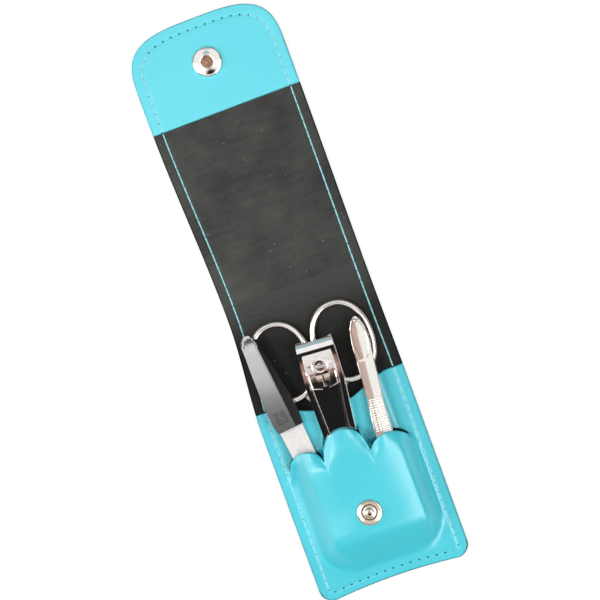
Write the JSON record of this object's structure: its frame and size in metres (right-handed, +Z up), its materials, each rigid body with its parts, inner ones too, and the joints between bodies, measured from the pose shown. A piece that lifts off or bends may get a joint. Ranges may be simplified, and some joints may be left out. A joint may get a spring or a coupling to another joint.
{
  "type": "manicure set case",
  "caption": "Folding leather case with a snap, lying open, its slit pocket holding a nail file, nail clipper, tweezers and nail scissors.",
  "frame": {"origin": "centre of the underside of the case as it lies open on a table", "axes": "+X across the case, +Y along it towards the flap, +Z up from the table"},
  "size_m": [0.056, 0.2124, 0.0136],
  "materials": {
    "leather": "smooth coated leather",
    "lining": "satin black lining",
    "card": "matte grey card",
    "thread": "twisted thread",
    "nickel": "polished nickel plate",
    "file_steel": "gritted steel",
    "handle_plastic": "gloss black",
    "polished_steel": "polished chrome",
    "tweezers_steel": "satin nickel",
    "scissors_steel": "polished nickel"
  },
  "bodies": {
    "base": {"base_shell": "leather", "base_lining": "lining", "base_board": "card", "pocket_panel": "leather", "base_stitching": "thread", "snap_stud": "nickel", "snap_rivet": "nickel"},
    "spine": {"spine_shell": "leather", "spine_lining": "lining", "spine_stitching": "thread"},
    "cover": {"cover_shell": "leather", "cover_lining": "lining", "cover_board": "card", "cover_facing": "leather", "cover_stitching": "thread", "snap_cap": "nickel", "snap_socket": "nickel"},
    "file": {"file_blade": "file_steel", "file_handle": "handle_plastic"},
    "clipper": {"clipper_lower_jaw": "polished_steel", "clipper_lever": "polished_steel", "clipper_post": "polished_steel", "clipper_cross_pin": "polished_steel", "clipper_rivet": "polished_steel"},
    "clipper_jaw": {"clipper_upper_jaw": "polished_steel"},
    "tweezers": {"tweezers_back_arm": "tweezers_steel"},
    "tweezers_arm": {"tweezers_front_arm": "tweezers_steel"},
    "scissors": {"scissors_screw": "scissors_steel"},
    "scissors_left": {"scissors_left_half": "scissors_steel"},
    "scissors_right": {"scissors_right_half": "scissors_steel"}
  },
  "joints": [
    {"name": "fold_base", "type": "hinge", "parent": "base", "child": "spine", "pos_m": [0, -0.0018, 0.0016], "axis": [-1, 0, 0], "range_deg": [-90, 0]},
    {"name": "fold_cover", "type": "hinge", "parent": "spine", "child": "cover", "pos_m": [0, 0.012, 0.0016], "axis": [-1, 0, 0], "range_deg": [-90, 0]},
    {"name": "file_slide", "type": "slide", "parent": "base", "child": "file", "axis": [-0.1219, 0.9925, 0], "range_m": [0, 0.045]},
    {"name": "clipper_slide", "type": "slide", "parent": "base", "child": "clipper", "axis": [0.0698, 0.9976, 0], "range_m": [0, 0.028]},
    {"name": "clipper_squeeze", "type": "hinge", "parent": "clipper", "child": "clipper_jaw", "pos_m": [-0.0022, -0.06842, 0.0068], "axis": [-0.9976, 0.0698, 0], "range_deg": [0, 1.4], "stiffness_Nm_per_rad": 0.4},
    {"name": "tweezers_slide", "type": "slide", "parent": "base", "child": "tweezers", "axis": [0.0958, 0.9954, 0], "range_m": [0, 0.042]},
    {"name": "tweezers_squeeze", "type": "hinge", "parent": "tweezers", "child": "tweezers_arm", "pos_m": [0.01703, -0.02101, 0.00642], "axis": [0.9954, -0.0958, 0], "range_deg": [0, 1.6], "stiffness_Nm_per_rad": 0.2},
    {"name": "scissors_slide", "type": "slide", "parent": "base", "child": "scissors", "axis": [0, 1, 0], "range_m": [0, 0.065]},
    {"name": "scissors_right_turn", "type": "hinge", "parent": "scissors", "child": "scissors_right", "pos_m": [-0.0006, -0.06, 0.003], "axis": [0, 0, -1], "range_deg": [0, 3.5]},
    {"name": "scissors_left_turn", "type": "hinge", "parent": "scissors", "child": "scissors_left", "pos_m": [-0.0006, -0.06, 0.003], "axis": [0, 0, -1], "range_deg": [-3.5, 0]}
  ],
  "couplings": [
    {"joint": "scissors_left_turn", "follows": "scissors_right_turn", "ratio": -1}
  ]
}
